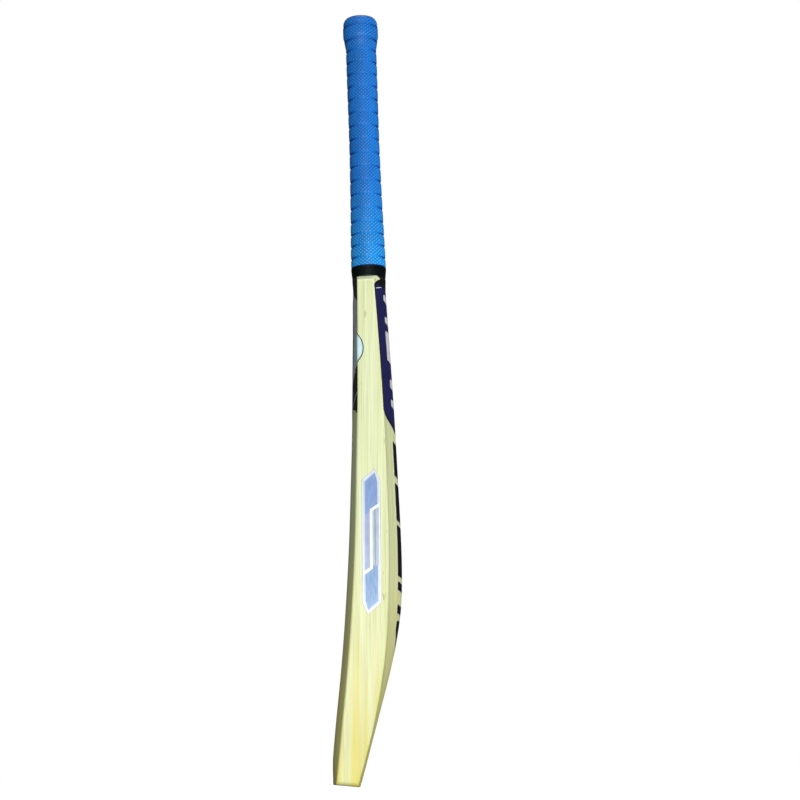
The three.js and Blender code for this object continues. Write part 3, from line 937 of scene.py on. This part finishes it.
def waxed_thread():
    """Black waxed thread: each turn has fine twisted strands and a soft gloss."""
    n = Nodes("waxed_thread", specular=0.25)
    strands = n.noise((1600, 1600, 4200), 2.0)
    n.colour(n.ramp(strands, [(0.3, (0.0006, 0.0016, 0.002)), (0.7, (0.004, 0.008, 0.009))]))
    n.rough(n.ramp(strands, [(0.3, 0.40), (0.7, 0.60)]))
    n.bump(strands, mm(0.08), 0.6)
    return n.material


def grip_rubber():
    """Satin blue rubber. Its diamond tips are painted paler, a painted highlight, and their cuts darker,
    painted shade; the grooves carry painted shade at the front and back and a painted highlight at the
    sides.
    """
    n = Nodes("grip_rubber", specular=0.35)
    painted_relief_light = n.node("ShaderNodeAttribute", attribute_name="painted_relief_light")
    depth = n.maths("MULTIPLY_ADD", painted_relief_light.outputs["Fac"], 0.5, 0.5)
    upper = n.ramp(depth, [
        (0.10, (0.001, 0.018, 0.100)), (0.32, (0.002, 0.045, 0.240)), (0.50, (0.003, 0.070, 0.370)),
        (0.72, (0.011, 0.185, 0.690)), (0.85, (0.022, 0.268, 0.850)), (1.0, (0.080, 0.410, 0.980)),
    ])
    lower = n.ramp(depth, [
        (0.10, (0.001, 0.030, 0.140)), (0.32, (0.002, 0.080, 0.330)), (0.50, (0.003, 0.090, 0.400)),
        (0.72, (0.010, 0.290, 0.900)), (0.85, (0.028, 0.440, 1.000)), (1.0, (0.220, 0.780, 1.000)),
    ])
    # The lower grip is painted lighter than the upper, as painted light, with painted highlights on its
    # brightest tips.
    tone = n.mix(n.ramp(n.axis("Z"), [(0.56, 1.0), (0.66, 0.0)]), upper, lower)
    cloud = n.ramp(n.noise((60, 60, 40)), [(0.3, 0.86), (0.7, 1.06)])
    n.colour(n.mix(1.0, tone, cloud, "MULTIPLY"))
    n.rough(n.ramp(depth, [(0.25, 0.30), (0.55, 0.52)]))
    n.bump(n.noise((2200, 2200, 2200), 2.0), mm(0.04), 0.5)
    return n.material


def film_ink(name, low, high, roughness=0.3, metallic=0.0):
    """Printed film: an ink with a slight mottle, a clear coat and fine handling scratches."""
    n = Nodes(name)
    n.shader.inputs["Metallic"].default_value = metallic
    n.shader.inputs["Coat Weight"].default_value = 0.1
    n.shader.inputs["Coat Roughness"].default_value = 0.15
    n.colour(n.ramp(n.noise((220, 220, 90), 4.0), [(0.3, low), (0.7, high)]))
    scratches = n.noise((1200, 900, 70))
    n.rough(n.ramp(scratches, [(0.35, roughness - 0.06), (0.68, roughness + 0.14)]))
    n.bump(n.noise((500, 500, 300), 2.0), mm(0.03), 0.3)
    return n.material


# ---- Stage, light and camera ------------------------------------------------------------

FLOOR_SIZE = 60.0
AMBIENT = 0.065
REFLECTED_AMBIENT = 0.035
FLOOR_GLOW = 0.5
CAMERA_DISTANCE = 1.9
CAMERA_SIDE = -0.070
CAMERA_HEIGHT = 0.005
CAMERA_YAW = math.radians(3.763)
CAMERA_PITCH = math.radians(12.02)
CAMERA_LENS = 80.59
CAMERA_SENSOR = 36.0


def add_floor():
    """A plain pale floor. It is lit for the camera and throws no light back on the bat."""
    half = FLOOR_SIZE / 2
    mesh = bpy.data.meshes.new("floor")
    corners = [(-half, -half), (half, -half), (half, half), (-half, half)]
    mesh.from_pydata([(x, y, FLOOR_HEIGHT - mm(0.1)) for x, y in corners], [], [(0, 1, 2, 3)])
    floor = bpy.data.objects.new("floor", mesh)
    bpy.context.scene.collection.objects.link(floor)
    n = Nodes("floor", roughness=0.9, specular=0.1)
    n.colour(n.ramp(n.noise((3, 3, 3), 2.0), [(0.3, 0.93), (0.7, 0.97)]))
    n.shader.inputs["Emission Color"].default_value = (1.0, 1.0, 1.0, 1.0)
    n.shader.inputs["Emission Strength"].default_value = FLOOR_GLOW
    mesh.materials.append(n.material)
    floor.visible_diffuse = False
    floor.visible_glossy = False


def add_light(name, kind, place, reflected=True, **settings):
    """A lamp at a place, aimed at the middle of the bat and hidden from the camera."""
    data = bpy.data.lights.new(name, kind)
    for key, value in settings.items():
        setattr(data, key, value)
    lamp = bpy.data.objects.new(name, data)
    lamp.location = place
    aim = Vector((0, 0, BAT_TOP * 0.4)) - lamp.location
    lamp.rotation_euler = aim.to_track_quat("-Z", "Y").to_euler()
    lamp.visible_camera = False
    lamp.visible_glossy = reflected
    bpy.context.scene.collection.objects.link(lamp)


def add_lights():
    """A key light by the camera, soft lights for the other sides, and one for the floor."""
    add_light("key", "AREA", (2.3, -0.12, 0.12), energy=50.0, size=0.5)
    add_light("back", "AREA", (0.6, 2.2, 0.3), reflected=False, energy=38.0, size=1.2)
    add_light("front", "AREA", (-1.2, -2.2, 0.5), reflected=False, energy=5.0, size=1.2)
    add_light("behind", "AREA", (-2.6, 0.25, 0.6), reflected=False, energy=30.0, size=0.8)
    add_light("above", "SUN", (0.0, 0.0, 6.0), energy=1.6, angle=math.radians(30))


def add_world():
    """White to the camera, dim in reflections, and a soft light on everything else."""
    world = bpy.data.worlds.new("studio")
    world.use_nodes = True
    tree = world.node_tree
    path = tree.nodes.new("ShaderNodeLightPath")
    ambient = tree.nodes["Background"]
    ambient.inputs["Color"].default_value = (0.95, 0.98, 1.0, 1.0)
    ambient.inputs["Strength"].default_value = AMBIENT
    result = ambient.outputs[0]
    for ray, strength in (("Is Glossy Ray", REFLECTED_AMBIENT), ("Is Camera Ray", 1.0)):
        shade = tree.nodes.new("ShaderNodeBackground")
        shade.inputs["Color"].default_value = (1.0, 1.0, 1.0, 1.0)
        shade.inputs["Strength"].default_value = strength
        choice = tree.nodes.new("ShaderNodeMixShader")
        tree.links.new(path.outputs[ray], choice.inputs[0])
        tree.links.new(result, choice.inputs[1])
        tree.links.new(shade.outputs[0], choice.inputs[2])
        result = choice.outputs[0]
    tree.links.new(result, tree.nodes["World Output"].inputs["Surface"])
    bpy.context.scene.world = world
    bpy.context.scene.view_settings.view_transform = "Standard"


def add_camera():
    """At the height of the toe, looking up at the bat's edge."""
    data = bpy.data.cameras.new("camera")
    data.lens = CAMERA_LENS
    data.sensor_width = CAMERA_SENSOR
    camera = bpy.data.objects.new("camera", data)
    camera.location = (CAMERA_DISTANCE, CAMERA_SIDE, CAMERA_HEIGHT)
    level = math.cos(CAMERA_PITCH)
    forward = Vector((-math.cos(CAMERA_YAW) * level, math.sin(CAMERA_YAW) * level, math.sin(CAMERA_PITCH)))
    camera.rotation_euler = forward.to_track_quat("-Z", "Y").to_euler()
    bpy.context.scene.collection.objects.link(camera)
    bpy.context.scene.camera = camera


# ---- Assembly ---------------------------------------------------------------------------

def dress_handle_core():
    """The canes and springs keep their CAD shape and get their finish."""
    finishes = {"cane_": cane(), "rubber_spring_": spring_rubber()}
    for name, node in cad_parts.items():
        for prefix, material in finishes.items():
            if name.startswith(prefix):
                node.data.materials.clear()
                node.data.materials.append(material)


add_camera()
add_floor()
add_lights()
add_world()
add_blade(willow())
dress_handle_core()
add_thread(waxed_thread())
add_grip(grip_rubber())

black_ink = film_ink("black_ink", (0.003, 0.004, 0.005), (0.007, 0.008, 0.010), 0.4)
white_ink = film_ink("white_ink", (0.82, 0.86, 0.88), (0.90, 0.92, 0.93))
silver_ink = film_ink("silver_ink", (0.74, 0.78, 0.82), (0.84, 0.87, 0.90), 0.32, 0.05)
pearl_ink = film_ink("pearl_ink", (0.62, 0.90, 0.93), (0.74, 0.98, 1.0))
blue_ink = film_ink("blue_ink", (0.03, 0.16, 0.50), (0.05, 0.20, 0.58))
navy_ink = film_ink("navy_ink", (0.011, 0.013, 0.095), (0.017, 0.019, 0.130), 0.4)
cream_ink = film_ink("cream_ink", (0.74, 0.76, 0.56), (0.82, 0.84, 0.64))
# A grey painted shadow round the edge labels.
painted_shadow_ink = film_ink("painted_shadow_ink", (0.22, 0.25, 0.28), (0.30, 0.33, 0.36))
sky_ink = film_ink("sky_ink", (0.13, 0.265, 0.59), (0.20, 0.335, 0.66))
pale_ink = film_ink("pale_ink", (0.54, 0.65, 0.80), (0.62, 0.73, 0.87))
lavender_ink = film_ink("lavender_ink", (0.27, 0.34, 0.56), (0.35, 0.42, 0.62))
steel_ink = film_ink("steel_ink", (0.35, 0.45, 0.55), (0.46, 0.55, 0.65))
dusk_ink = film_ink("dusk_ink", (0.17, 0.25, 0.35), (0.25, 0.33, 0.43))
cyan_ink = film_ink("cyan_ink", (0.07, 0.24, 0.53), (0.13, 0.31, 0.61))

add_face_label([black_ink, silver_ink, pearl_ink, blue_ink])
add_back_label([black_ink, navy_ink, white_ink])
add_flank_strips([cream_ink, black_ink])
add_edge_labels([painted_shadow_ink, white_ink, pale_ink, sky_ink, lavender_ink, steel_ink, dusk_ink, cyan_ink])
